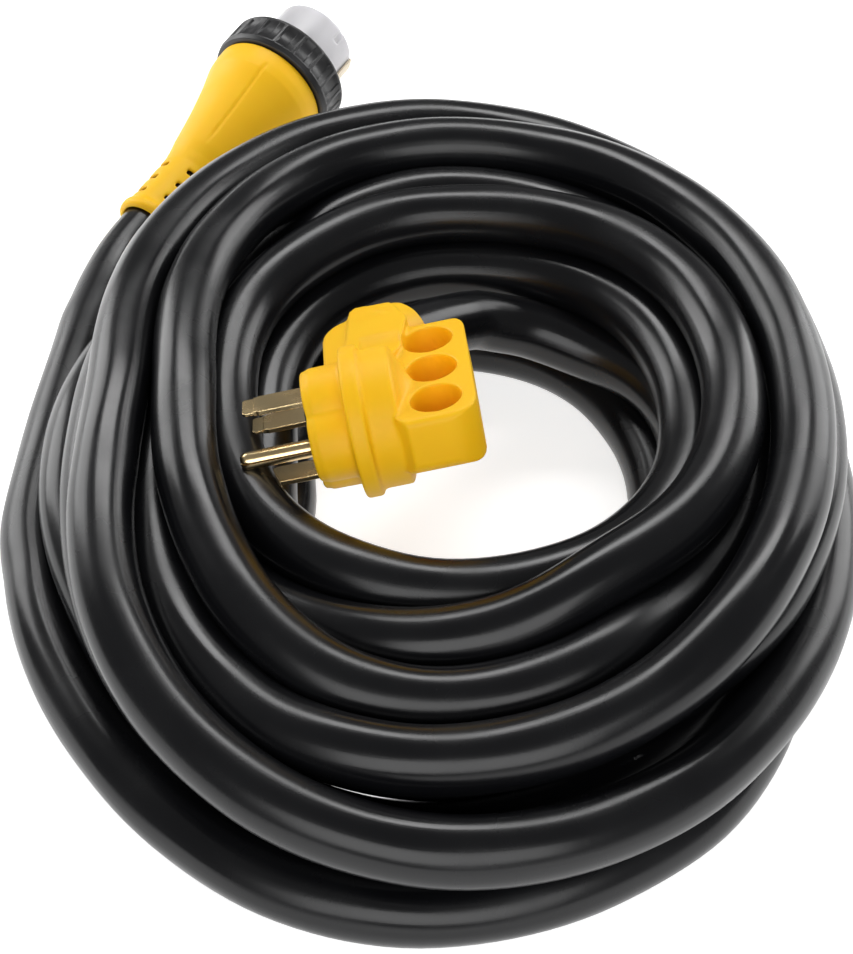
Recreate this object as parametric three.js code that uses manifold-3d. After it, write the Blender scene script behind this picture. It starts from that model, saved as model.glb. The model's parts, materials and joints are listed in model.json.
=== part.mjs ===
// A coiled 50 A shore power cord: a four-blade plug with a finger-hole handle at one end,
// a locking connector with a turning ring at the other, and about nine metres of cord
// wound between them into an oval coil that lies on the floor.
// Millimetres, +Z up. The origin is the middle of the whole object's footprint, on the floor.

import * as THREE from 'three';
import { mergeVertices } from 'three/addons/utils/BufferGeometryUtils.js';
import Module from 'manifold-3d';

const wasm = await Module();
wasm.setup();

// ---- driving dimensions ----------------------------------------------------------------

const GAP = 0.3;                    // air left between pieces that touch
const CORD_D = 25.5;                // 6 AWG / 8 AWG four-core cord
const CORD_SIDES = 10;
const TAIL_STEPS = 14;
const CORE_D = 5.1;                  // one insulated core
const CORE_BORE_R = 10.5;           // the hole that the four cores pass through together
const CORE_BORE_LENGTH = 12;
const CORE_CIRCLE = 6.2;            // the cores' distance from the cord's axis
const DEGREE = Math.PI / 180;

// The coil: an oval ring whose hole has its own centre.
const COIL_OUTER = { x: -1, y: -28, rx: 175, ry: 213 };
const COIL_INNER = { x: 18.5, y: -24, rx: 67.5, ry: 86 };
const COIL_SECTION = [[0, 0], [0, 34], [0.2, 50], [0.3, 66], [0.37, 92], [0.68, 92], [1, 42], [1, 0]];
const COIL_SIDES = 48;

// The plug's frame: blades point to -X, the cord side is +Y, the finger holes run along Z.
const PLUG_AT = [-43.5, -65.3, 81.2];
const PLUG_TURN = { roll: -13.5, pitch: -9.9, yaw: 6.3 };
const NOSE_Y = 12.6;                // centre of the round nose, from the ground pin
const NOSE_R = 23.5;
const NOSE_LIP_R = 21.5;
const NOSE_LIP = 3;
const FLANGE_R = 30;
const FLANGE_FROM = 16;
const FLANGE_TO = 23;
const BODY_HALF = 17;
const DRUM = { r: 27.6, from: 22, to: 35, rear: 39.5, rearR: 16 };
const HANDLE = { x0: 36, x1: 65.5, y0: -19.3, y1: 58.3, z0: -11.5, z1: 13.4, corner: 8, edge: 4 };
const FINGER_HOLE = { r: 10, x: 50.2, y0: -3.9, pitch: 23.4, count: 3 };
const PLUG_EXIT = [36, 71.5, 0];
const PLUG_EXIT_WAY = new THREE.Vector3(0.664, 0.702, -0.255).normalize();
const PLUG_COLLAR = { r: 17.5, back: 16, front: 9 };
const CORD_IN_PLUG = 10;            // how far the jacket reaches into the plug's bore
const CHAMBER = { x0: 14, x1: 34, y0: 2.6, y1: 60, half: 13.5 };
const INSERT = { r: 19.6, depth: 11 };
const BLADE = { width: 12, thick: 2, length: 23.9, tail: 14, tip: 4.5, coin: 0.35 };
const HOT_Y = 11.3;
const HOT_Z = 16.4;
const NEUTRAL_Y = 25.2;
const GROUND = { r: 3.55, length: 28.4, tail: 14, groove: 1.4 };

// The connector's frame: the axis is +X, from the strain relief's end towards the nose.
const CONNECTOR_AT = [-135.1, 151.9, 16.9];
const CONNECTOR_TURN = { roll: 0, pitch: -8.6, yaw: 59.1 };
const BOOT_OUTER = [[0, 15.2], [1.5, 16.3], [5, 16.3], [8, 15.1], [37, 15.2], [49, 17.6], [68, 21.4],
  [78, 23.8], [88, 26.5], [95, 28.7], [99, 29.7], [108.6, 30]];
const BOOT_INNER = [[108.6, 24.4], [93, 24.4], [60, 14], [42, 13.2], [0, 13.2]];
const RELIEF_SLOT = { width: 3, first: 11, pitch: 9.5, rows: 3, around: 4, arc: 46, depth: 3 };
const CORD_IN_BOOT = 38;
const NOSE = { r: 21.5, front: 153, wall: 3, inner: 18.9, hub: 25, hubFrom: 109, hubTo: 113.3, back: 94 };
const SPIGOT_R = 24.1;
const RING = { r: 32.8, rear: 109, front: 127, inner: 28.8, lipInner: 25.5, lipTo: 113, ribs: 18, panel: 0.9 };
const RETAINER = { inner: 21.8, outer: 28.2, from: 113.6, to: 116.4 };
const SEAL = { inner: 21.8, outer: 27.6, from: 116.8, to: 119 };
const CARRIER = { r: 18.5, from: 101, to: 117 };
const CONTACT = { inner: 11.2, outer: 15.4, arc: 50, from: 97, to: 149.4, slot: 2.2, slotDepth: 22 };
const FACE_SLOT = { inner: 12, outer: 14.6, arc: 46 };
const CONTACT_ANGLES = { x: 90, y: 210, w: 330 };
const GROUND_STRIP = { inner: 21.9, outer: 22.9, angle: -60, arc: 40, from: 121, to: 151 };
const ROUND = 28;

// Hand-chosen routes of the two stretches that aren't coiled, from the fitting to the coil.
const PLUG_TAIL = [[-19.6, 1, 73.9], [-13, 8, 70.9], [-6.5, 15, 68], [8, 29.6, 61.4], [27, 43.4, 52.5],
  [53, 49, 43], [79, 43, 36], [100, 27, 33.5], [112.5, 3, 33]];
const CONNECTOR_TAIL = [[-115.8, 184.1, 22.6], [-125.5, 168, 19.7], [-135.1, 151.9, 16.9], [-139.2, 145.1, 15.7],
  [-145.3, 132, 13.9], [-150, 115, 12.9], [-153.5, 95, 12.9], [-156.5, 74, 12.9]];

// ---- materials -------------------------------------------------------------------------

function material(colour, roughness, metalness = 0) {
  return new THREE.MeshStandardMaterial({ color: colour, roughness, metalness });
}

const JACKET = () => material(0x141416, 0.35);
const YELLOW = () => material(0xf7bf1d, 0.45);
const BRASS = () => material(0xc9a765, 0.3, 1);
const BLACK_NYLON = () => material(0x1b1b1d, 0.5);
const WHITE_NYLON = () => material(0xe7e5e6, 0.4);
const CREAM = () => material(0xd9cbb4, 0.5);
const RUBBER = () => material(0x222224, 0.8);
const CORE_COLOURS = { black: 0x1c1c1c, red: 0xb5261f, white: 0xe8e6e0, green: 0x2f7d3a };

// ---- solid helpers ---------------------------------------------------------------------

function solid(geometry) {
  const bare = geometry.clone();
  bare.deleteAttribute('normal');
  bare.deleteAttribute('uv');
  const merged = mergeVertices(bare, 1e-4);
  return new wasm.Manifold(new wasm.Mesh({
    numProp: 3,
    vertProperties: new Float32Array(merged.attributes.position.array),
    triVerts: new Uint32Array(merged.index.array),
  }));
}

function geometryOf(manifold) {
  const mesh = manifold.getMesh();
  const geometry = new THREE.BufferGeometry();
  geometry.setAttribute('position', new THREE.BufferAttribute(new Float32Array(mesh.vertProperties), 3));
  geometry.setIndex(new THREE.BufferAttribute(new Uint32Array(mesh.triVerts), 1));
  geometry.computeVertexNormals();
  return geometry;
}

function cut(base, ...tools) {
  return tools.reduce((rest, tool) => rest.subtract(solid(tool)), base);
}

function join(base, ...others) {
  return others.reduce((sum, other) => sum.add(solid(other)), base);
}

function piece(name, geometry, look) {
  const mesh = new THREE.Mesh(geometry, look);
  mesh.name = name;
  return mesh;
}

// A disc or rod with its axis along X.
function rodX(radius, from, to, y = 0, z = 0, sides = ROUND, endRadius = radius) {
  const rod = new THREE.CylinderGeometry(endRadius, radius, to - from, sides);
  rod.rotateZ(-Math.PI / 2);
  rod.translate((from + to) / 2, y, z);
  return rod;
}

function boxBetween(x0, x1, y0, y1, z0, z1) {
  const block = new THREE.BoxGeometry(x1 - x0, y1 - y0, z1 - z0);
  block.translate((x0 + x1) / 2, (y0 + y1) / 2, (z0 + z1) / 2);
  return block;
}

// A turned piece about the X axis, from [along, radius] pairs that close on themselves.
function turned(profile, sides = ROUND) {
  const points = profile.map(([along, radius]) => new THREE.Vector2(radius, along));
  points.push(points[0].clone());
  const lathe = new THREE.LatheGeometry(points, sides);
  lathe.rotateZ(-Math.PI / 2);
  return solidFacingOut(lathe);
}

// Turns a closed geometry's triangles round if they face inwards.
function solidFacingOut(geometry) {
  const at = geometry.attributes.position;
  const index = geometry.index.array;
  const [a, b, c] = [new THREE.Vector3(), new THREE.Vector3(), new THREE.Vector3()];
  let volume = 0;
  for (let i = 0; i < index.length; i += 3) {
    a.fromBufferAttribute(at, index[i]);
    b.fromBufferAttribute(at, index[i + 1]);
    c.fromBufferAttribute(at, index[i + 2]);
    volume += a.dot(b.cross(c));
  }
  if (volume < 0) {
    for (let i = 0; i < index.length; i += 3) {
      [index[i], index[i + 1]] = [index[i + 1], index[i]];
    }
  }
  return geometry;
}

// A block between two radii about the X axis, over an angle centred on `middle` degrees.
function arcBlock(inner, outer, middle, arc, from, to) {
  const start = (middle - arc / 2) * DEGREE;
  const end = (middle + arc / 2) * DEGREE;
  const outline = new THREE.Shape();
  outline.absarc(0, 0, outer, start, end, false);
  outline.absarc(0, 0, inner, end, start, true);
  const block = new THREE.ExtrudeGeometry(outline, { depth: to - from, bevelEnabled: false, curveSegments: 4 });
  block.rotateY(Math.PI / 2);
  block.translate(from, 0, 0);
  return block;
}

function circle(radius, sides) {
  const points = [];
  for (let i = 0; i < sides; i += 1) {
    const angle = (2 * Math.PI * i) / sides;
    points.push(new THREE.Vector2(radius * Math.cos(angle), radius * Math.sin(angle)));
  }
  return new THREE.Shape(points);
}

function tubeAlong(curve, radius, sides, steps) {
  return new THREE.ExtrudeGeometry(circle(radius, sides), { steps, extrudePath: curve, bevelEnabled: false });
}

function routeCurve(points) {
  return new THREE.CatmullRomCurve3(points.map((point) => new THREE.Vector3(...point)), false, 'centripetal');
}

// ---- cord ------------------------------------------------------------------------------

// The first part of a curve, ending `short` before its end.
function shortened(curve, short, samples = 40) {
  const share = 1 - short / curve.getLength();
  const points = [];
  for (let i = 0; i <= samples; i += 1) {
    points.push(curve.getPointAt((share * i) / samples));
  }
  return new THREE.CatmullRomCurve3(points, false, 'centripetal');
}

function tail(name, curve) {
  return piece(name, tubeAlong(shortened(curve, 3 * GAP), CORD_D / 2, CORD_SIDES, TAIL_STEPS), JACKET());
}

function ovalPoint(oval, angle) {
  return [oval.x + oval.rx * Math.cos(angle), oval.y + oval.ry * Math.sin(angle)];
}

function coilRing() {
  const points = COIL_SECTION.map(([across, height]) => new THREE.Vector2(1 + across, height));
  points.push(points[0].clone());
  const ring = new THREE.LatheGeometry(points, COIL_SIDES);
  ring.rotateX(Math.PI / 2);
  const at = ring.attributes.position;
  for (let i = 0; i < at.count; i += 1) {
    const angle = Math.atan2(at.getY(i), at.getX(i));
    const across = Math.hypot(at.getX(i), at.getY(i)) - 1;
    const inner = ovalPoint(COIL_INNER, angle);
    const outer = ovalPoint(COIL_OUTER, angle);
    const x = inner[0] + (outer[0] - inner[0]) * across;
    const y = inner[1] + (outer[1] - inner[1]) * across;
    at.setXYZ(i, x, y, at.getZ(i));
  }
  return solid(solidFacingOut(ring));
}

// The coil's outer shape, with a groove where each tail runs into it.
function coil(tailCurves) {
  const radius = (CORD_D / 2 + 2 * GAP) / Math.cos(Math.PI / CORD_SIDES);
  const grooves = tailCurves.map((curve) => tubeAlong(curve, radius, CORD_SIDES, TAIL_STEPS));
  return piece('cord_coil', geometryOf(cut(coilRing(), ...grooves)), JACKET());
}

function cord() {
  const plugTail = routeCurve(PLUG_TAIL);
  const connectorTail = routeCurve(CONNECTOR_TAIL);
  const group = new THREE.Group();
  group.add(coil([plugTail, connectorTail]));
  group.add(tail('cord_tail_plug', plugTail));
  group.add(tail('cord_tail_connector', connectorTail));
  return group;
}

// One core from the cord's cut end to its terminal, inside a plug or connector.
function core(name, colour, start, startWay, end, endWay) {
  const reach = start.distanceTo(end) * 0.22;
  const curve = new THREE.CubicBezierCurve3(
    start,
    start.clone().addScaledVector(startWay, reach),
    end.clone().addScaledVector(endWay, -reach),
    end,
  );
  return piece(name, tubeAlong(curve, CORE_D / 2, 8, 7), material(CORE_COLOURS[colour], 0.5));
}

// ---- plug ------------------------------------------------------------------------------

function plugBody() {
  const outline = new THREE.Shape();
  outline.moveTo(FLANGE_FROM, 20);
  outline.lineTo(8.5, 34);
  outline.quadraticCurveTo(9, 62, 24, 76);
  outline.lineTo(35, 76);
  outline.lineTo(43, 58);
  outline.lineTo(43, -14);
  outline.lineTo(38, -19);
  outline.lineTo(FLANGE_FROM + 2, -12);
  outline.closePath();
  const bevel = 3;
  const body = new THREE.ExtrudeGeometry(outline, {
    depth: 2 * (BODY_HALF - bevel),
    bevelThickness: bevel,
    bevelSize: bevel,
    bevelOffset: -bevel,
    bevelSegments: 2,
    curveSegments: 6,
  });
  body.translate(0, 0, -(BODY_HALF - bevel));
  return body;
}

function plugHandle() {
  const { x0, x1, y0, y1, z0, z1, corner, edge } = HANDLE;
  const outline = new THREE.Shape();
  outline.moveTo(x0, y0);
  outline.lineTo(x1 - corner, y0);
  outline.quadraticCurveTo(x1, y0, x1, y0 + corner);
  outline.lineTo(x1, y1 - corner);
  outline.quadraticCurveTo(x1, y1, x1 - corner, y1);
  outline.lineTo(x0, y1);
  outline.closePath();
  const handle = new THREE.ExtrudeGeometry(outline, {
    depth: z1 - z0 - 2 * edge,
    bevelThickness: edge,
    bevelSize: edge,
    bevelOffset: -edge,
    bevelSegments: 2,
    curveSegments: 4,
  });
  handle.translate(0, 0, z0 + edge);
  return handle;
}

function fingerHoles() {
  const holes = [];
  for (let i = 0; i < FINGER_HOLE.count; i += 1) {
    const hole = new THREE.CylinderGeometry(FINGER_HOLE.r, FINGER_HOLE.r, 60, 24);
    hole.rotateX(Math.PI / 2);
    hole.translate(FINGER_HOLE.x, FINGER_HOLE.y0 + i * FINGER_HOLE.pitch, 0);
    holes.push(hole);
  }
  return holes;
}

// A rod along the cord's way out of the plug, between two distances from the exit point.
function exitRod(radius, from, to) {
  const rod = new THREE.CylinderGeometry(radius, radius, to - from, 24);
  rod.translate(0, (from + to) / 2, 0);
  rod.applyQuaternion(new THREE.Quaternion().setFromUnitVectors(new THREE.Vector3(0, 1, 0), PLUG_EXIT_WAY));
  rod.translate(...PLUG_EXIT);
  return rod;
}

function plugOvermould() {
  const outer = join(
    solid(plugBody()),
    plugHandle(),
    rodX(NOSE_LIP_R, 0, NOSE_LIP, NOSE_Y, 0, ROUND, NOSE_R),
    rodX(NOSE_R, NOSE_LIP - 0.01, FLANGE_FROM + 1, NOSE_Y),
    rodX(FLANGE_R, FLANGE_FROM, FLANGE_TO, NOSE_Y),
    rodX(DRUM.r, DRUM.from, DRUM.to, NOSE_Y),
    rodX(DRUM.r - 2, DRUM.to - 1, DRUM.rear, NOSE_Y, 0, ROUND, DRUM.rearR),
    exitRod(PLUG_COLLAR.r, -PLUG_COLLAR.back, PLUG_COLLAR.front),
  );
  const hollow = [
    rodX(INSERT.r + GAP, -1, 32, NOSE_Y),
    boxBetween(CHAMBER.x0, CHAMBER.x1, CHAMBER.y0, CHAMBER.y1, -CHAMBER.half, CHAMBER.half),
    exitRod(CORD_D / 2 + 2 * GAP, -CORD_IN_PLUG - 2 * GAP, PLUG_COLLAR.front + 1),
    exitRod(CORE_BORE_R, -CORD_IN_PLUG - CORE_BORE_LENGTH, -CORD_IN_PLUG + 1),
    ...fingerHoles(),
  ];
  return piece('plug_overmould', geometryOf(cut(outer, ...hollow)), YELLOW());
}

// A flat blade whose last few millimetres are coined thinner.
function blade(y, z, extra = 0) {
  const half = BLADE.width / 2 + extra;
  const thick = BLADE.thick / 2 + extra;
  const shank = boxBetween(-BLADE.length + BLADE.tip, BLADE.tail, y - half, y + half, z - thick, z + thick);
  const tipHalf = half - BLADE.coin;
  const tipThick = thick - BLADE.coin;
  const tip = boxBetween(-BLADE.length, 0, y - tipHalf, y + tipHalf, z - tipThick, z + tipThick);
  return join(solid(shank), tip);
}

// A folded round pin: a rod with a blunt tip and a groove along its underside.
function groundPin() {
  const tip = 3;
  const rod = join(
    solid(rodX(GROUND.r, -GROUND.length + tip, GROUND.tail, 0, 0, 16)),
    rodX(GROUND.r * 0.6, -GROUND.length, -GROUND.length + tip + 0.01, 0, 0, 16, GROUND.r),
  );
  const half = GROUND.groove / 2;
  return cut(rod, boxBetween(-GROUND.length - 1, 0.5, -GROUND.r - 1, -GROUND.r / 2, -half, half));
}

function plugInsert() {
  const slots = [blade(HOT_Y, HOT_Z, GAP), blade(HOT_Y, -HOT_Z, GAP), blade(NEUTRAL_Y, 0, GAP)];
  const disc = cut(solid(rodX(INSERT.r, 0, INSERT.depth, NOSE_Y)), rodX(GROUND.r + GAP, -1, 20, 0, 0, 16));
  const cutDisc = slots.reduce((rest, slot) => rest.subtract(slot), disc);
  return piece('plug_insert', geometryOf(cutDisc), BLACK_NYLON());
}

function plugCores() {
  const start = new THREE.Vector3(...PLUG_EXIT).addScaledVector(PLUG_EXIT_WAY, -CORD_IN_PLUG - 2 * GAP);
  const back = PLUG_EXIT_WAY.clone().negate();
  const up = new THREE.Vector3(0, 0, 1);
  const side = new THREE.Vector3().crossVectors(up, back).normalize();
  const over = new THREE.Vector3().crossVectors(back, side);
  const ends = {
    black: [HOT_Y, 8, 0.55, 0.1],
    red: [HOT_Y, -9, -0.9, 0.2],
    white: [NEUTRAL_Y + 1, 0, 0, -1],
    green: [1, 0, 0, 1],
  };
  const forward = new THREE.Vector3(-1, 0, 0);
  return Object.entries(ends).map(([colour, [y, z, overShare, sideShare]]) => {
    const from = start.clone()
      .addScaledVector(over, overShare * CORE_CIRCLE)
      .addScaledVector(side, sideShare * CORE_CIRCLE);
    const to = new THREE.Vector3(BLADE.tail + 1, y, z);
    return core(`plug_wire_${colour}`, colour, from, back, to, forward);
  });
}

function plug() {
  const group = new THREE.Group();
  group.add(plugOvermould(), plugInsert());
  group.add(piece('hot_blade_x', geometryOf(blade(HOT_Y, HOT_Z)), BRASS()));
  group.add(piece('hot_blade_y', geometryOf(blade(HOT_Y, -HOT_Z)), BRASS()));
  group.add(piece('neutral_blade', geometryOf(blade(NEUTRAL_Y, 0)), BRASS()));
  group.add(piece('ground_pin', geometryOf(groundPin()), BRASS()));
  group.add(...plugCores());
  return place(group, PLUG_AT, PLUG_TURN);
}

// ---- connector -------------------------------------------------------------------------

function connectorBoot() {
  const slots = [];
  for (let row = 0; row < RELIEF_SLOT.rows; row += 1) {
    for (let i = 0; i < RELIEF_SLOT.around; i += 1) {
      const from = RELIEF_SLOT.first + row * RELIEF_SLOT.pitch;
      const middle = (360 / RELIEF_SLOT.around) * (i + 0.5);
      slots.push(arcBlock(BOOT_INNER[4][1] - 1, 20, middle, RELIEF_SLOT.arc, from, from + RELIEF_SLOT.width));
    }
  }
  const shell = turned([...BOOT_OUTER, ...BOOT_INNER]);
  return piece('connector_boot', geometryOf(cut(solid(shell), ...slots)), YELLOW());
}

function connectorNose() {
  const { r, front, wall, inner, hub, hubFrom, hubTo, back } = NOSE;
  const shell = turned([
    [back, inner], [back, SPIGOT_R], [hubFrom, SPIGOT_R], [hubFrom, hub], [hubTo, hub], [hubTo, r],
    [front - 1, r], [front, r - 1], [front, 1], [front - wall, 1], [front - wall, inner],
  ]);
  const centre = rodX(2, front - wall, front, 0, 0, ROUND);
  const slots = Object.values(CONTACT_ANGLES).map(
    (angle) => arcBlock(FACE_SLOT.inner, FACE_SLOT.outer, angle, FACE_SLOT.arc, front - wall - 1, front + 1),
  );
  return piece('connector_nose', geometryOf(cut(join(solid(shell), centre), ...slots)), WHITE_NYLON());
}

function contactCarrier() {
  const pockets = Object.values(CONTACT_ANGLES).map((angle) => arcBlock(
    CONTACT.inner - GAP,
    CONTACT.outer + GAP,
    angle,
    CONTACT.arc + 3,
    CARRIER.from - 1,
    CARRIER.to + 1,
  ));
  const disc = solid(rodX(CARRIER.r, CARRIER.from, CARRIER.to));
  return piece('contact_carrier', geometryOf(cut(disc, ...pockets)), CREAM());
}

// A curved female contact: a block with a curved slot open to the front.
function contact(name, angle) {
  const block = solid(arcBlock(CONTACT.inner, CONTACT.outer, angle, CONTACT.arc, CONTACT.from, CONTACT.to));
  const middle = (CONTACT.inner + CONTACT.outer) / 2;
  const half = CONTACT.slot / 2;
  const slot = arcBlock(middle - half, middle + half, angle, CONTACT.arc + 10, CONTACT.to - CONTACT.slotDepth,
    CONTACT.to + 1);
  return piece(name, geometryOf(cut(block, slot)), BRASS());
}

function groundContact() {
  const { inner, outer, angle, arc, from, to } = GROUND_STRIP;
  return piece('ground_contact', arcBlock(inner, outer, angle, arc, from, to), CREAM());
}

function lockingRing() {
  const shell = turned([
    [RING.rear, RING.lipInner], [RING.rear, RING.r - 1.2], [RING.rear + 1.2, RING.r], [RING.front - 1.2, RING.r],
    [RING.front, RING.r - 1.2], [RING.front, RING.inner], [RING.lipTo, RING.inner], [RING.lipTo, RING.lipInner],
  ], 36);
  const pitch = 360 / RING.ribs;
  const panels = [];
  for (let i = 0; i < RING.ribs; i += 1) {
    panels.push(arcBlock(RING.r - RING.panel, RING.r + 3, i * pitch, pitch * 0.78, RING.rear + 3, RING.front - 3));
  }
  return piece('locking_ring', geometryOf(cut(solid(shell), ...panels)), BLACK_NYLON());
}

function washer(name, { inner, outer, from, to }, look) {
  return piece(name, turned([[from, inner], [from, outer], [to, outer], [to, inner]]), look);
}

function connectorCores() {
  const start = CORD_IN_BOOT + 1;
  const end = CONTACT.from - 1;
  const angles = { black: CONTACT_ANGLES.x, red: CONTACT_ANGLES.y, white: CONTACT_ANGLES.w, green: null };
  const along = new THREE.Vector3(1, 0, 0);
  return Object.entries(angles).map(([colour, degrees]) => {
    const angle = (degrees ?? 0) * DEGREE;
    const nearR = degrees === null ? 0 : CORE_CIRCLE + 1;
    const farR = degrees === null ? 0 : (CONTACT.inner + CONTACT.outer) / 2;
    const from = new THREE.Vector3(start, nearR * Math.sin(angle), nearR * Math.cos(angle));
    const to = new THREE.Vector3(end, farR * Math.sin(angle), farR * Math.cos(angle));
    return core(`connector_wire_${colour}`, colour, from, along, to, along);
  });
}

function connector() {
  const group = new THREE.Group();
  group.add(connectorBoot(), connectorNose(), contactCarrier());
  for (const [letter, angle] of Object.entries(CONTACT_ANGLES)) {
    group.add(contact(`contact_${letter}`, angle));
  }
  group.add(groundContact(), lockingRing());
  group.add(washer('ring_retainer', RETAINER, WHITE_NYLON()));
  group.add(washer('seal_gasket', SEAL, RUBBER()));
  group.add(...connectorCores());
  return place(group, CONNECTOR_AT, CONNECTOR_TURN);
}

// ---- assembly --------------------------------------------------------------------------

function place(group, at, { roll, pitch, yaw }) {
  group.position.set(...at);
  group.rotation.copy(new THREE.Euler(roll * DEGREE, pitch * DEGREE, yaw * DEGREE, 'ZYX'));
  return group;
}

const shorePowerCord = new THREE.Group();
shorePowerCord.add(cord(), plug(), connector());

// Stand the whole on z = 0 with its footprint centred on the origin.
const box = new THREE.Box3().setFromObject(shorePowerCord, true);
const middle = box.getCenter(new THREE.Vector3());
shorePowerCord.position.set(-middle.x, -middle.y, -box.min.z);
shorePowerCord.updateMatrixWorld(true);

export default shorePowerCord;
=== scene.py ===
"""A coiled 50 A shore power cord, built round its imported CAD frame.

The cord is one tube that starts in the plug, drops onto the inside of the coil, goes round it a little
over ten and a half times and ends in the connector's strain relief. The plug's and the connector's
moulded pieces are built in their own frames and placed as the CAD places them.
"""

import json
import math

import bmesh
import bpy
import numpy as np
from mathutils import Euler, Matrix, Vector


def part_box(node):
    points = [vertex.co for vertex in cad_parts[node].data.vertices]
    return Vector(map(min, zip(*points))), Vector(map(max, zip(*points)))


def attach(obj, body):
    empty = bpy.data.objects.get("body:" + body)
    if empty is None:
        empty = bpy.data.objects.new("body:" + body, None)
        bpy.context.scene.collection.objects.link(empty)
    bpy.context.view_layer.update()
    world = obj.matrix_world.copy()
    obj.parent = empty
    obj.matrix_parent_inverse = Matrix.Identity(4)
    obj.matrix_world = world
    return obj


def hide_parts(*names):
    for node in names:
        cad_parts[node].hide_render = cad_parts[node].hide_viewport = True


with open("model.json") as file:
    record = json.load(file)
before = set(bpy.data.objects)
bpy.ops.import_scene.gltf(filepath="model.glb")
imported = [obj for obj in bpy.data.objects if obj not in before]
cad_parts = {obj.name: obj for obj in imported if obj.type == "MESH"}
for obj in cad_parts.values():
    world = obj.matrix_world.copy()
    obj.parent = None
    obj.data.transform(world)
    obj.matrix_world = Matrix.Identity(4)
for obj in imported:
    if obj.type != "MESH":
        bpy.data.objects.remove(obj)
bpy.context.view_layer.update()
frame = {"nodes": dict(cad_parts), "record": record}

MM = 0.001
CORD_D = 25.5 * MM

# ---- where things are --------------------------------------------------------------------


def layout_origin():
    """The point that the coil is laid out from: 1 mm right of the coil's middle and 28 mm beyond it."""
    low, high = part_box("cord_coil")
    return Vector(((low.x + high.x) / 2 + 1 * MM, (low.y + high.y) / 2 + 28 * MM, 0))


LAYOUT = layout_origin()


def placement(at_mm, roll, pitch, yaw):
    turn = Euler([math.radians(angle) for angle in (roll, pitch, yaw)], "XYZ").to_matrix().to_4x4()
    return Matrix.Translation(LAYOUT + Vector(at_mm) * MM) @ turn


# The plug's frame: blades point to -X, the cord side is +Y, the finger holes run along Z.
PLUG = placement((-43.5, -65.3, 81.2), -13.5, -9.9, 6.3)
# The connector's frame: +X from the strain relief's end towards the nose.
CONNECTOR = placement((-135.1, 151.9, 16.9), 0, -8.6, 59.1)

# ---- camera ------------------------------------------------------------------------------

CAMERA_DISTANCE = 0.884
CAMERA_ELEVATION = math.radians(45)
LENS_MM = 76.8


def make_camera():
    data = bpy.data.cameras.new("camera")
    data.lens = LENS_MM
    data.sensor_width = 36
    camera = bpy.data.objects.new("camera", data)
    bpy.context.scene.collection.objects.link(camera)
    back = Vector((0, -math.cos(CAMERA_ELEVATION), math.sin(CAMERA_ELEVATION)))
    camera.location = LAYOUT + back * CAMERA_DISTANCE
    camera.rotation_euler = (math.pi / 2 - CAMERA_ELEVATION, 0, 0)
    bpy.context.scene.camera = camera


make_camera()

# ---- the cord's route --------------------------------------------------------------------

COIL_CENTRE = (-2, -30)
POINTS_PER_TURN = 24
# Where each turn crosses the coil's left, near, right and far sides: (x or y, height) in mm.
TURNS = [
    [(-163.6, 12.75), (-228, 12.75), (148, 12.75), (172, 12.75)],
    [(-147, 33), (-198, 12.75), (124, 12.75), (146, 12.75)],
    [(-121, 34), (-184, 39), (153, 57), (164, 68)],
    [(-121.7, 79), (-228, 50), (159.5, 33), (157, 37)],
    [(-130, 54), (-211, 31), (130, 35), (132, 47)],
    [(-110, 58), (-199, 61), (147.5, 80), (136, 75)],
    [(-96.5, 82), (-173, 59), (134, 58), (115, 66)],
    [(-93, 38), (-148, 63), (122, 80), (92, 68)],
    [(-80, 62), (-122.5, 62), (107, 59), (78, 55)],
    [(-66, 42), (-133, 36), (100, 12.75), (74, 12.75)],
    [(-59, 13), (-136, 12.75), (112, 33)],
]
BEFORE_FIRST_TURN = (235, 15)
# How much nearer than an arc the cord runs in each quarter: left to near, near to right, and so on.
QUARTER_PULL = (-0.045, -0.03, -0.02, -0.06)
# The same for the innermost turn, whose quarters run a little outside an arc.
INNER_SPREAD = 0.02
# The routes of the two stretches that aren't coiled, as part.mjs has them.
PLUG_TAIL = [(-19.6, 1, 73.9), (-13, 8, 70.9), (-6.5, 15, 68), (8, 29.6, 61.4), (27, 43.4, 52.5),
             (53, 49, 43), (79, 43, 36), (100, 27, 33.5), (112.5, 3, 33)]
CONNECTOR_TAIL = [(-115.8, 184.1, 22.6), (-125.5, 168, 19.7), (-135.1, 151.9, 16.9), (-139.2, 145.1, 15.7),
                  (-145.3, 132, 13.9), (-150, 115, 12.9), (-153.5, 95, 12.9), (-156.5, 74, 12.9)]


def smooth_step(before, start, end, after, share):
    """Catmull-Rom between start and end."""
    return 0.5 * (2 * start + (end - before) * share
                  + (2 * before - 5 * start + 4 * end - after) * share**2
                  + (3 * start - before - 3 * end + after) * share**3)


def crossings():
    """Each quarter turn's distance from the coil's centre and height, in order round the coil."""
    found = []
    for turn in TURNS:
        for quarter, (across, height) in enumerate(turn):
            centre = COIL_CENTRE[quarter % 2]
            found.append((abs(across - centre), height))
    return np.array(found, float)


def coil_points():
    found = crossings()
    last = 2 * found[-1] - found[-2]
    padded = np.vstack([BEFORE_FIRST_TURN, found, last])
    steps = POINTS_PER_TURN // 4
    points = []
    for quarter in range(len(found) - 1):
        pull = QUARTER_PULL[quarter % 4] * (1 - quarter / len(found)) + INNER_SPREAD * quarter / len(found)
        for step in range(steps + (quarter == len(found) - 2)):
            share = step / steps
            radius, height = smooth_step(*padded[quarter:quarter + 4], share)
            radius *= 1 + pull * math.sin(math.pi * share)**2
            angle = math.pi + (quarter + share) * math.pi / 2
            points.append((COIL_CENTRE[0] + radius * math.cos(angle),
                           COIL_CENTRE[1] + radius * math.sin(angle), height))
    return points


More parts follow.
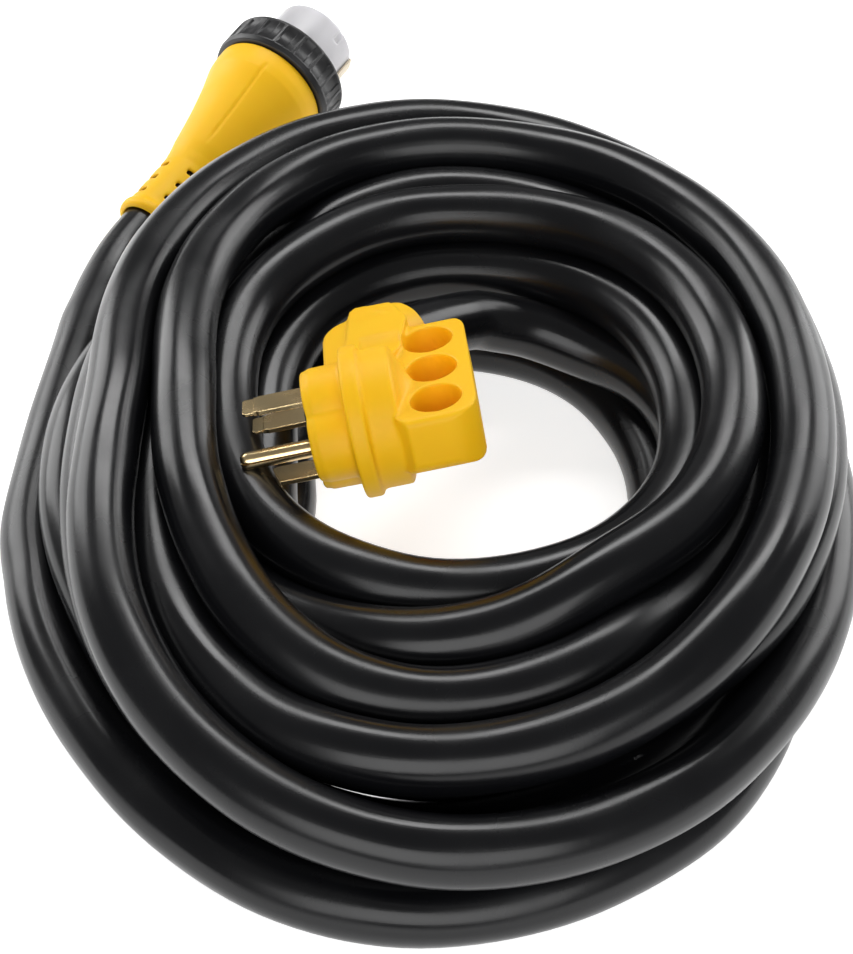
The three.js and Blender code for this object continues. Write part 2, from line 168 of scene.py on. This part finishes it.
def spread_evenly(points, step):
    """The same line through its points, as a smooth curve with a point every step."""
    points = np.array(points, float)
    padded = np.vstack([2 * points[0] - points[1], points, 2 * points[-1] - points[-2]])
    fine = [smooth_step(*padded[i:i + 4], share)
            for i in range(len(points) - 1) for share in np.linspace(0, 1, 16, endpoint=False)]
    fine = np.array(fine + [points[-1]])
    along = np.concatenate([[0], np.cumsum(np.linalg.norm(np.diff(fine, axis=0), axis=1))])
    wanted = np.linspace(0, along[-1], round(along[-1] / step) + 1)
    return np.column_stack([np.interp(wanted, along, fine[:, i]) for i in range(3)])


SETTLE_STEP = 12 * MM
TUBE_STEP = 6 * MM
TIGHTEST_BEND = 78 * MM
# How far a point lies off the middle of the points two steps before and after it in that bend.
MOST_SAG = (2 * SETTLE_STEP)**2 / (2 * TIGHTEST_BEND)
SETTLE_PASSES = 70
# Points at each end that don't move, and the least points between two that push each other.
HELD_POINTS = 6
NEIGHBOUR_POINTS = 6
# The share of each fault that one pass takes away.
PUSH_SHARE = 0.3
SHAPE_SHARE = 0.25
RETURN_SHARE = 0.03
BEND_SHARE = 0.6
TINY = 1e-9


def settle(path):
    """Pushes turns that lie in each other apart and up off the floor, and opens tight bends.

    The line keeps its shape and stays near its first place meanwhile.
    """
    at = path.copy()
    count = len(at)
    order = np.arange(count)
    neighbours = np.abs(order[:, None] - order[None]) < NEIGHBOUR_POINTS
    free = np.ones(count)
    free[:HELD_POINTS] = 0
    free[-HELD_POINTS:] = 0
    first_shape = (path[:-2] + path[2:]) / 2 - path[1:-1]
    for _ in range(SETTLE_PASSES):
        gaps = at[:, None] - at[None]
        apart = np.linalg.norm(gaps, axis=2) + np.eye(count)
        push = np.clip(CORD_D - apart, 0, None) * PUSH_SHARE
        push[neighbours] = 0
        move = (gaps / apart[..., None] * push[..., None]).sum(axis=1)
        shape = (at[:-2] + at[2:]) / 2 - at[1:-1]
        move[1:-1] += SHAPE_SHARE * shape - SHAPE_SHARE * first_shape
        move += RETURN_SHARE * (path - at)
        sag = (at[:-4] + at[4:]) / 2 - at[2:-2]
        depth = np.linalg.norm(sag, axis=1)[:, None]
        move[2:-2] += BEND_SHARE * sag * np.clip(1 - MOST_SAG / np.maximum(depth, TINY), 0, None)
        at += move * free[:, None]
        at[:, 2] = np.maximum(at[:, 2], CORD_D / 2)
    return at


def cord_path():
    millimetres = CONNECTOR_TAIL + coil_points() + PLUG_TAIL[::-1]
    points = np.array(millimetres) * MM + np.array(LAYOUT)
    rough = spread_evenly(points, SETTLE_STEP)
    return spread_evenly(settle(rough), TUBE_STEP)[::-1]


# ---- mesh helpers ------------------------------------------------------------------------


def link(name, mesh, smooth=True):
    """A new object in the scene for a mesh."""
    if smooth:
        mesh.shade_smooth()
    made = bpy.data.objects.new(name, mesh)
    bpy.context.scene.collection.objects.link(made)
    return made


def mesh_from(name, points, faces):
    mesh = bpy.data.meshes.new(name)
    mesh.from_pydata([tuple(point) for point in points], [], faces)
    mesh.update()
    return mesh


def carried_frames(path):
    """Two directions across the path at each point, carried along it without twisting."""
    tangents = np.gradient(path, axis=0)
    tangents /= np.linalg.norm(tangents, axis=1)[:, None]
    across = np.cross(tangents[0], (0, 0, 1))
    sides = []
    for tangent in tangents:
        across = across - tangent * (across @ tangent)
        across /= np.linalg.norm(across)
        sides.append(across)
    sides = np.array(sides)
    return sides, np.cross(tangents, sides)


def tube(name, path, radius, sides=28):
    """A closed tube along a path; its jacket swells very slightly over the twisted cores inside."""
    path = np.array(path)
    first, second = carried_frames(path)
    along = np.concatenate([[0], np.cumsum(np.linalg.norm(np.diff(path, axis=0), axis=1))])
    lay_length, swell = 210 * MM, 0.1 * MM
    points = []
    for i, centre in enumerate(path):
        for side in range(sides):
            angle = 2 * math.pi * side / sides
            reach = radius + swell * math.cos(3 * (angle - 2 * math.pi * along[i] / lay_length))
            points.append(centre + reach * (math.cos(angle) * first[i] + math.sin(angle) * second[i]))
    faces = []
    for i in range(len(path) - 1):
        for side in range(sides):
            after = (side + 1) % sides
            row, above = i * sides, (i + 1) * sides
            faces.append((row + side, row + after, above + after, above + side))
    faces.append(tuple(range(sides))[::-1])
    faces.append(tuple(range((len(path) - 1) * sides, len(path) * sides)))
    mesh = mesh_from(name, points, faces)
    layer = mesh.uv_layers.new(name="along")
    for loop in mesh.loops:
        ring, side = divmod(loop.vertex_index, sides)
        layer.data[loop.index].uv = (side / sides, along[ring])
    return link(name, mesh)


# ---- the cord ----------------------------------------------------------------------------

CORD_PATH = cord_path()
cord = tube("cord", CORD_PATH, CORD_D / 2)

# ---- materials ---------------------------------------------------------------------------


class Surface:
    """A material under construction: its shader, and short ways to add noise, colour and bump."""

    def __init__(self, name, roughness, metallic=0.0):
        self.material = bpy.data.materials.new(name)
        self.material.use_nodes = True
        self.tree = self.material.node_tree
        self.shader = self.tree.nodes["Principled BSDF"]
        self.shader.inputs["Roughness"].default_value = roughness
        self.shader.inputs["Metallic"].default_value = metallic
        self.place = self.tree.nodes.new("ShaderNodeTexCoord")
        self.height = None

    def node(self, kind, **settings):
        made = self.tree.nodes.new(kind)
        for key, value in settings.items():
            setattr(made, key, value)
        return made

    def join(self, output, socket):
        self.tree.links.new(output, socket)

    def noise(self, scale, detail=3.0, stretch=(1, 1, 1), along_cord=False):
        """A grey pattern from 0 to 1, in metres, or on the tube's own (round, along) coordinates."""
        mapping = self.node("ShaderNodeMapping")
        mapping.inputs["Scale"].default_value = stretch
        self.join(self.place.outputs["UV" if along_cord else "Object"], mapping.inputs["Vector"])
        pattern = self.node("ShaderNodeTexNoise")
        pattern.inputs["Scale"].default_value = scale
        pattern.inputs["Detail"].default_value = detail
        self.join(mapping.outputs["Vector"], pattern.inputs["Vector"])
        return pattern.outputs["Fac"]

    def ramp(self, value, low, high, start=0.0, end=1.0):
        """value, spread from low..high to start..end."""
        spread = self.node("ShaderNodeMapRange")
        spread.inputs["From Min"].default_value = low
        spread.inputs["From Max"].default_value = high
        spread.inputs["To Min"].default_value = start
        spread.inputs["To Max"].default_value = end
        self.join(value, spread.inputs["Value"])
        return spread.outputs["Result"]

    def mix(self, share, first, second):
        """Between two colours, or between an earlier mix and a colour."""
        blend = self.node("ShaderNodeMix", data_type="RGBA")
        self.join(share, blend.inputs["Factor"])
        for value, socket in ((first, blend.inputs["A"]), (second, blend.inputs["B"])):
            if isinstance(value, tuple):
                socket.default_value = (*value, 1)
            else:
                self.join(value, socket)
        return blend.outputs["Result"]

    def colour(self, value):
        self.join(value, self.shader.inputs["Base Color"])

    def roughness(self, value):
        self.join(value, self.shader.inputs["Roughness"])

    def bump(self, value, depth, strength=1.0):
        made = self.node("ShaderNodeBump")
        made.inputs["Distance"].default_value = depth
        made.inputs["Strength"].default_value = strength
        self.join(value, made.inputs["Height"])
        if self.height is not None:
            self.join(self.height, made.inputs["Normal"])
        self.height = made.outputs["Normal"]
        self.join(self.height, self.shader.inputs["Normal"])


def jacket():
    """Glossy near-black vinyl: faint draw lines along it, dull handled patches and a few pale scuffs."""
    surface = Surface("jacket", 0.3)
    patches = surface.noise(22, 4)
    scratches = surface.ramp(surface.noise(9, 6, (14, 90, 1), along_cord=True), 0.70, 0.78)
    tint = surface.mix(patches, (0.0032, 0.0033, 0.004), (0.006, 0.0062, 0.0072))
    surface.colour(surface.mix(scratches, tint, (0.03, 0.03, 0.032)))
    surface.roughness(surface.ramp(patches, 0.35, 0.7, 0.2, 0.33))
    surface.shader.inputs["Specular IOR Level"].default_value = 0.4
    surface.bump(surface.noise(1, 2, (40, 6, 1), along_cord=True), 0.12 * MM, 0.35)
    surface.bump(surface.noise(900, 2), 0.03 * MM, 0.4)
    return surface.material


def moulded(name, light, dark, roughness, grain=0.02):
    """Moulded plastic: a slow drift of colour, a fine grain and slightly uneven gloss."""
    surface = Surface(name, roughness)
    surface.colour(surface.mix(surface.noise(35, 3), light, dark))
    surface.roughness(surface.ramp(surface.noise(60, 3), 0.3, 0.7, roughness - 0.05, roughness + 0.08))
    surface.bump(surface.noise(1400, 2), grain * MM, 0.5)
    surface.bump(surface.noise(90, 3), 0.1 * MM, 0.25)
    return surface


def yellow_vinyl():
    surface = moulded("yellow_vinyl", (1.0, 0.57, 0.006), (0.98, 0.52, 0.005), 0.5, 0.03)
    surface.shader.inputs["Specular IOR Level"].default_value = 0.3
    surface.shader.inputs["Subsurface Weight"].default_value = 0.2
    surface.shader.inputs["Subsurface Radius"].default_value = (0.004, 0.002, 0.0003)
    surface.shader.inputs["Subsurface Scale"].default_value = 1.0
    return surface.material


def white_nylon():
    surface = moulded("white_nylon", (0.62, 0.61, 0.63), (0.56, 0.55, 0.57), 0.35)
    surface.shader.inputs["Subsurface Weight"].default_value = 0.5
    surface.shader.inputs["Subsurface Radius"].default_value = (0.006, 0.006, 0.0065)
    surface.shader.inputs["Subsurface Scale"].default_value = 1.0
    return surface.material


def brass():
    """Stamped brass: finely brushed along the blade, browned a little in soft patches."""
    surface = Surface("brass", 0.3, metallic=1.0)
    tarnish = surface.ramp(surface.noise(45, 4), 0.42, 0.7)
    surface.colour(surface.mix(tarnish, (0.97, 0.76, 0.42), (0.76, 0.54, 0.27)))
    surface.roughness(surface.ramp(surface.noise(90, 3), 0.3, 0.7, 0.18, 0.32))
    surface.bump(surface.noise(2600, 3, (0.08, 1, 1)), 0.006 * MM, 0.4)
    return surface.material


LOOKS = {
    "jacket": jacket(),
    "yellow_vinyl": yellow_vinyl(),
    "black_nylon": moulded("black_nylon", (0.012, 0.012, 0.013), (0.02, 0.02, 0.021), 0.38).material,
    "brass": brass(),
    "white_nylon": white_nylon(),
    "cream_nylon": moulded("cream_nylon", (0.74, 0.64, 0.48), (0.68, 0.57, 0.41), 0.4).material,
    "seal_rubber": moulded("seal_rubber", (0.02, 0.02, 0.02), (0.028, 0.028, 0.028), 0.75, 0.05).material,
    "core_black": moulded("core_black", (0.015, 0.015, 0.015), (0.02, 0.02, 0.02), 0.45).material,
    "core_red": moulded("core_red", (0.5, 0.02, 0.015), (0.42, 0.02, 0.012), 0.45).material,
    "core_white": moulded("core_white", (0.8, 0.78, 0.74), (0.72, 0.7, 0.66), 0.45).material,
    "core_green": moulded("core_green", (0.03, 0.24, 0.07), (0.02, 0.19, 0.05), 0.45).material,
}


def finish_piece(piece, look, body="cordset", stands_for=()):
    piece.data.materials.clear()
    piece.data.materials.append(LOOKS[look])
    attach(piece, body)
    if stands_for:
        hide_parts(*stands_for)
    return piece


def dress_cad_nodes():
    """Gives every CAD node the material of its slot; finish_piece hides those that a new piece replaces."""
    for part in frame["record"]["subparts"]:
        node = frame["nodes"][part["node"]]
        node.data.materials.clear()
        node.data.materials.append(LOOKS[part["material_slot"]])


dress_cad_nodes()
finish_piece(cord, "jacket", stands_for=("cord_coil", "cord_tail_plug", "cord_tail_connector"))

# ---- solids in a fitting's own frame, in millimetres ---------------------------------------


def prism(outline, low, high):
    """An outline in X and Y, from one height to another."""
    count = len(outline)
    points = [(x, y, z) for z in (low, high) for x, y in outline]
    faces = [tuple(range(count))[::-1], tuple(range(count, 2 * count))]
    faces += [(i, (i + 1) % count, count + (i + 1) % count, count + i) for i in range(count)]
    return outward(mesh_from("prism", points, faces))


def rod_x(profile, centre=(0, 0), sides=96, swell=None):
    """A round solid along X from (x, radius) pairs; swell(angle) scales its radius round the circle."""
    points, faces = [], []
    for x, radius in profile:
        for i in range(sides):
            angle = 2 * math.pi * i / sides
            reach = radius * (swell(angle) if swell else 1)
            points.append((x, centre[0] + reach * math.cos(angle), centre[1] + reach * math.sin(angle)))
    for row in range(len(profile) - 1):
        near, far = row * sides, (row + 1) * sides
        for i in range(sides):
            after = (i + 1) % sides
            faces.append((near + i, near + after, far + after, far + i))
    faces.append(tuple(range(sides)))
    faces.append(tuple(range((len(profile) - 1) * sides, len(profile) * sides)))
    return outward(mesh_from("rod", points, faces))


def turned_x(profile, sides=144, reach=None):
    """A turned shell about X from (x, radius) pairs that close on themselves.

    reach(x, radius, angle) may give another radius there.
    """
    count = len(profile)
    points, faces = [], []
    for i in range(sides):
        angle = 2 * math.pi * i / sides
        for x, radius in profile:
            actual = reach(x, radius, angle) if reach else radius
            points.append((x, actual * math.cos(angle), actual * math.sin(angle)))
    for i in range(sides):
        row, after = i * count, ((i + 1) % sides) * count
        for j in range(count):
            onward = (j + 1) % count
            faces.append((row + j, row + onward, after + onward, after + j))
    return outward(mesh_from("turned", points, faces))


def arc_block(inner, outer, middle, arc, low, high, steps=10):
    """A block between two radii about X, over an angle in degrees; 0 is +Y and 90 is +Z."""
    angles = [math.radians(middle - arc / 2 + arc * i / steps) for i in range(steps + 1)]
    ring = [(outer, angle) for angle in angles] + [(inner, angle) for angle in angles[::-1]]
    count = len(ring)
    points = [(x, r * math.cos(a), r * math.sin(a)) for x in (low, high) for r, a in ring]
    faces = [tuple(range(count)), tuple(range(count, 2 * count))]
    faces += [(i, (i + 1) % count, count + (i + 1) % count, count + i) for i in range(count)]
    return outward(mesh_from("arc", points, faces))


def box_mesh(low, high):
    outline = [(low[0], low[1]), (high[0], low[1]), (high[0], high[1]), (low[0], high[1])]
    return prism(outline, low[2], high[2])


def outward(mesh):
    work = bmesh.new()
    work.from_mesh(mesh)
    bmesh.ops.recalc_face_normals(work, faces=work.faces)
    work.to_mesh(mesh)
    work.free()
    return mesh


def together(name, meshes):
    """One object of several closed solids that may lie in each other."""
    work = bmesh.new()
    for mesh in meshes:
        work.from_mesh(mesh)
    joined = bpy.data.meshes.new(name)
    work.to_mesh(joined)
    work.free()
    return link(name, joined, smooth=False)


def apply_modifier(piece, kind, **settings):
    modifier = piece.modifiers.new(kind.lower(), kind)
    for key, value in settings.items():
        setattr(modifier, key, value)
    shaped = bpy.data.meshes.new_from_object(piece.evaluated_get(bpy.context.evaluated_depsgraph_get()))
    piece.modifiers.clear()
    piece.data = shaped


def cut_away(piece, meshes):
    for mesh in meshes:
        tool = link("tool", mesh, smooth=False)
        apply_modifier(piece, "BOOLEAN", operation="DIFFERENCE", solver="EXACT", object=tool)
        bpy.data.objects.remove(tool)


def soften(piece, grid, passes):
    """Melts a solid's pieces into one skin and rounds its edges, as a mould does."""
    apply_modifier(piece, "REMESH", mode="VOXEL", voxel_size=grid, adaptivity=0.0)
    apply_modifier(piece, "SMOOTH", factor=0.5, iterations=passes)


def settle_in(piece, matrix):
    """Takes a piece from millimetres in its fitting's frame to metres in the object's frame."""
    piece.data.transform(matrix @ Matrix.Scale(MM, 4))
    piece.data.shade_smooth()
    return piece


def arc_points(centre, radius, start, end, steps=8):
    angles = [math.radians(start + (end - start) * i / steps) for i in range(steps + 1)]
    return [(centre[0] + radius * math.cos(a), centre[1] + radius * math.sin(a)) for a in angles]


# ---- plug --------------------------------------------------------------------------------

NOSE_Y = 12.6
FINGER_X, FINGER_Y, FINGER_PITCH, FINGER_R = 50.2, -3.9, 23.4, 10
HOT_Y, HOT_Z, NEUTRAL_Y = 11.3, 16.4, 25.2
EXIT = Vector((36, 71.5, 0))
EXIT_WAY = Vector((0.664, 0.702, -0.255)).normalized()


def lobes(angle):
    """The nose bulges over its four prongs, with a crease between each two."""
    return 0.885 + 0.165 * abs(math.cos(2 * angle))


def exit_rod(radius, low, high, far_radius=None):
    rod = rod_x([(low, radius), (high, far_radius or radius)], sides=64)
    tilt = Vector((1, 0, 0)).rotation_difference(EXIT_WAY).to_matrix().to_4x4()
    rod.transform(Matrix.Translation(EXIT) @ tilt)
    return rod


def along_x(outline, low, high):
    """An outline in Y and Z, from one X to another."""
    solid = prism(outline, low, high)
    solid.transform(Matrix(((0, 0, 1, 0), (1, 0, 0, 0), (0, 1, 0, 0), (0, 0, 0, 1))))
    return outward(solid)


def rod_z(x, y, radius):
    return prism(arc_points((x, y), radius, 0, 360, 64)[:-1], -30, 30)


def handle_solid():
    """The grip: its lower near edge is rounded to sit in the palm."""
    outline = (arc_points((53.5, -7.3), 12, -90, 0) + arc_points((57.5, 50.3), 8, 0, 90)
               + [(38, 58.3), (34, 50), (34, -14), (38, -19.3)])
    across = (arc_points((-13.3, -5.5), 6, 180, 270) + arc_points((54.3, -7.5), 4, 270, 360)
              + arc_points((55.3, 10.4), 3, 0, 90) + arc_points((-16.3, 10.4), 3, 90, 180))
    grip = together("grip", [prism(outline, -11.5, 13.4)])
    tool = together("tool", [along_x(across, 20, 80)])
    apply_modifier(grip, "BOOLEAN", operation="INTERSECT", solver="EXACT", object=tool)
    bpy.data.objects.remove(tool)
    mesh = grip.data
    bpy.data.objects.remove(grip)
    return mesh


def body_solids():
    """The far end of the body: a rounded front that bulges past the flange, and the block behind it."""
    front = (arc_points((23.5, 55), 15.2, 90, 180) + [(8.3, 46), (8.3, 30), (18, 22), (26, 22), (26, 70.2)])
    back = [(16.5, 30), (34, 24), (40, 40), (43.5, 60), (37.5, 75), (22.5, 76), (20, 73)]
    return [prism(front, -15.4, 15.4), prism(back, -17, 17)]


def plug_shell():
    shell = together("plug_shell", [
        rod_x([(0, 22.8), (0.8, 23.2), (3, 23.3), (3.05, 24), (17, 24.2)], (NOSE_Y, 0), swell=lobes),
        rod_x([(16, 29.4), (16.8, 30), (22.2, 30), (23, 29.4)], (NOSE_Y, 0)),
        rod_x([(22, 27.6), (35, 27.6), (36, 25.5), (37.5, 21), (39.5, 17), (43, 13)], (NOSE_Y, 0)),
        handle_solid(),
        *body_solids(),
        exit_rod(16, -9, 5, 15.6),
    ])
    soften(shell, 0.6, 3)
    cut_away(shell, [
        rod_x([(23.4, 24), (40, 24)], (41, 39.6)),
        rod_x([(-1, 19.8), (32, 19.8)], (NOSE_Y, 0)),
        box_mesh((14, 2.6, -12.5), (34, 58, 12.5)),
        exit_rod(10.5, -22, -8),
        exit_rod(13.3, -9.5, 12),
        *[rod_z(FINGER_X, FINGER_Y + i * FINGER_PITCH, FINGER_R) for i in range(3)],
    ])
    soften(shell, 0.6, 7)
    settle_in(shell, PLUG)
    return finish_piece(shell, "yellow_vinyl", stands_for=("plug_overmould",))


def blade(name, y, z):
    """A flat blade with a coined, thinner tip, its edges slightly rounded."""
    front = [(14, y + 6), (-17.5, y + 6), (-18.3, y + 5.5), (-22.9, y + 5.5), (-23.9, y + 4.6),
             (-23.9, y - 4.6), (-22.9, y - 5.5), (-18.3, y - 5.5), (-17.5, y - 6), (14, y - 6)]
    bar = together(name, [prism(front, z - 1, z + 1)])
    for side in (-1, 1):
        middle = z + side * 1.4
        cut_away(bar, [box_mesh((-30, y - 9, middle - 0.8), (-19.4, y + 9, middle + 0.8))])
    apply_modifier(bar, "BEVEL", width=0.5, segments=3, limit_method="ANGLE")
    settle_in(bar, PLUG)
    bar.data.shade_flat()
    return finish_piece(bar, "brass", stands_for=(name.replace("_bar", ""),))


def ground_pin():
    """A pin folded from sheet into a round, with the fold's seam along it and a blunt tip."""
    pin = together("ground_pin_bar", [
        rod_x([(-28.4, 1.8), (-27.9, 2.6), (-27, 3.2), (-25.8, 3.5), (-24, 3.55), (14, 3.55)], sides=48),
    ])
    cut_away(pin, [box_mesh((-30, -5, 0.2), (1, -1.2, 0.9))])
    apply_modifier(pin, "BEVEL", width=0.15, segments=2, limit_method="ANGLE")
    settle_in(pin, PLUG)
    return finish_piece(pin, "brass", stands_for=("ground_pin",))


plug_shell()
blade("hot_blade_x_bar", HOT_Y, HOT_Z)
blade("hot_blade_y_bar", HOT_Y, -HOT_Z)
blade("neutral_blade_bar", NEUTRAL_Y, 0)
ground_pin()

# ---- connector ---------------------------------------------------------------------------

BOOT_OUTER = [(0.3, 14.6), (0.9, 15.8), (2, 16.4), (4.6, 16.4), (5.8, 15.8), (7.5, 15.1), (20, 15),
              (37, 15.2), (43, 16.2), (49, 17.7), (58, 19.4), (68, 21.4), (78, 23.8), (86, 25.9),
              (92, 27.8), (96.5, 29.2), (101, 29.8), (108, 30), (108.5, 29.6)]
BOOT_INNER = [(108.5, 25.2), (107, 24.6), (93, 24.4), (60, 14), (42, 13.2), (0.6, 13.2), (0, 13.6)]
CREASE_ANGLE, CREASE_FROM, CREASE_TO = math.radians(107), 50, 98
CREASE_DEPTH, CREASE_HALF_WIDTH = 0.9, 1.1


def creased(x, radius, angle):
    """The boot's outside has one faint lengthwise crease from its mould."""
    off = abs(angle - CREASE_ANGLE) * radius
    on_outside = CREASE_FROM < x < CREASE_TO and radius > 16 + (x - CREASE_FROM) / 5
    if not on_outside:
        return radius
    return radius - CREASE_DEPTH * max(1 - off / CREASE_HALF_WIDTH, 0)


def connector_boot():
    boot = together("boot_shell", [turned_x(BOOT_OUTER + BOOT_INNER, 360, creased)])
    slots = []
    for row in range(3):
        for i in range(4):
            x = 11 + 9.5 * row
            slots.append(arc_block(12, 20, 90 * i + 45, 46, x, x + 3))
    cut_away(boot, slots)
    soften(boot, 0.55, 4)
    settle_in(boot, CONNECTOR)
    return finish_piece(boot, "yellow_vinyl", stands_for=("connector_boot",))


RING_R, RING_REAR, RING_FRONT = 32.8, 109, 127
RIB_COUNT = 18
PANEL_FROM, PANEL_TO = 112.6, 124.6
PANEL_DEPTH, STEP_DEPTH, PANEL_SHARE = 1.0, 0.45, 0.62


def ring_reach(x, radius, angle):
    """The locking ring's grip: shallow panels, each with a raised step, between narrow ribs."""
    if radius < RING_R - 0.4 or not PANEL_FROM < x < PANEL_TO:
        return radius
    share = (angle * RIB_COUNT / (2 * math.pi)) % 1
    edge = min(share, 1 - share) * 2 * math.pi * radius / RIB_COUNT
    depth = PANEL_DEPTH if share < PANEL_SHARE else STEP_DEPTH
    return radius - depth * min(max((edge - 0.7) / 0.4, 0), 1)


def locking_ring():
    profile = [(RING_REAR, 25.5), (RING_REAR, 31.8), (109.4, 32.2), (110.6, 32.2), (111.2, RING_R),
               (112.5, RING_R), (112.9, RING_R), (118, RING_R), (124.3, RING_R), (124.7, RING_R),
               (126, RING_R), (126.6, 32.5), (RING_FRONT, 31.8), (RING_FRONT, 29.4), (126.4, 28.8),
               (113, 28.8), (113, 25.5)]
    ring = together("locking_ring_grip", [turned_x(profile, 720, ring_reach)])
    settle_in(ring, CONNECTOR)
    return finish_piece(ring, "black_nylon", body="ring", stands_for=("locking_ring",))


def connector_nose():
    """The nose: three curved slots in its face, and three small notches in its rim."""
    profile = [(94, 18.9), (94, 24.1), (109, 24.1), (109, 25), (113.3, 25), (113.3, 21.5), (151.6, 21.5),
               (152.6, 21), (153, 20.2), (153, 0.6), (150, 0.6), (150, 18.9)]
    nose = together("nose_shell", [turned_x(profile, 96)])
    face_slots = [arc_block(12, 14.6, angle, 46, 148, 155) for angle in (90, 210, 330)]
    rim_notches = [arc_block(20.3, 23, angle, 9, 145, 155) for angle in (150, 262, 20)]
    cut_away(nose, face_slots + rim_notches)
    soften(nose, 0.5, 3)
    settle_in(nose, CONNECTOR)
    return finish_piece(nose, "white_nylon", stands_for=("connector_nose",))


boot = connector_boot()
ring = locking_ring()
nose = connector_nose()

# ---- stage -------------------------------------------------------------------------------

# The floor glows a little, so that it comes out white.
FLOOR_GLOW = 0.6
WORLD_STRENGTH = 0.15
EXPOSURE = 0.22
# Each softbox's place and size in metres, and its watts. All face the origin.
SOFTBOXES = {
    "left": ((-1.2, 0.9, 0.6), (0.8, 1.0), 10),
    "right": ((1.2, 0.9, 0.6), (0.8, 1.0), 10),
    "far": ((0, 0.9, 1.3), (1.0, 0.4), 9),
    "front": ((0, -2.2, 1.3), (3.0, 1.6), 38),
}


def flat_material(name, colour, roughness, glow):
    material = bpy.data.materials.new(name)
    material.use_nodes = True
    shader = material.node_tree.nodes["Principled BSDF"]
    shader.inputs["Base Color"].default_value = (*colour, 1)
    shader.inputs["Roughness"].default_value = roughness
    shader.inputs["Emission Color"].default_value = (1, 1, 1, 1)
    shader.inputs["Emission Strength"].default_value = glow
    return material


def make_floor():
    bpy.ops.mesh.primitive_plane_add(size=8)
    floor = bpy.context.object
    floor.name = "floor"
    floor.data.materials.append(flat_material("floor", (0.85, 0.85, 0.85), 0.9, FLOOR_GLOW))


def softbox(name, place, size, watts):
    data = bpy.data.lights.new(name, "AREA")
    data.shape = "RECTANGLE"
    data.size, data.size_y = size
    data.energy = watts
    light = bpy.data.objects.new(name, data)
    bpy.context.scene.collection.objects.link(light)
    light.location = place
    light.rotation_euler = Vector(place).to_track_quat("Z", "Y").to_euler()


def make_world(strength):
    world = bpy.data.worlds.new("studio")
    world.use_nodes = True
    world.node_tree.nodes["Background"].inputs["Color"].default_value = (1, 1, 1, 1)
    world.node_tree.nodes["Background"].inputs["Strength"].default_value = strength
    bpy.context.scene.world = world


make_floor()
make_world(WORLD_STRENGTH)
for light_name, (place, size, watts) in SOFTBOXES.items():
    softbox(light_name, place, size, watts)
bpy.context.scene.view_settings.view_transform = "Standard"
bpy.context.scene.view_settings.exposure = EXPOSURE
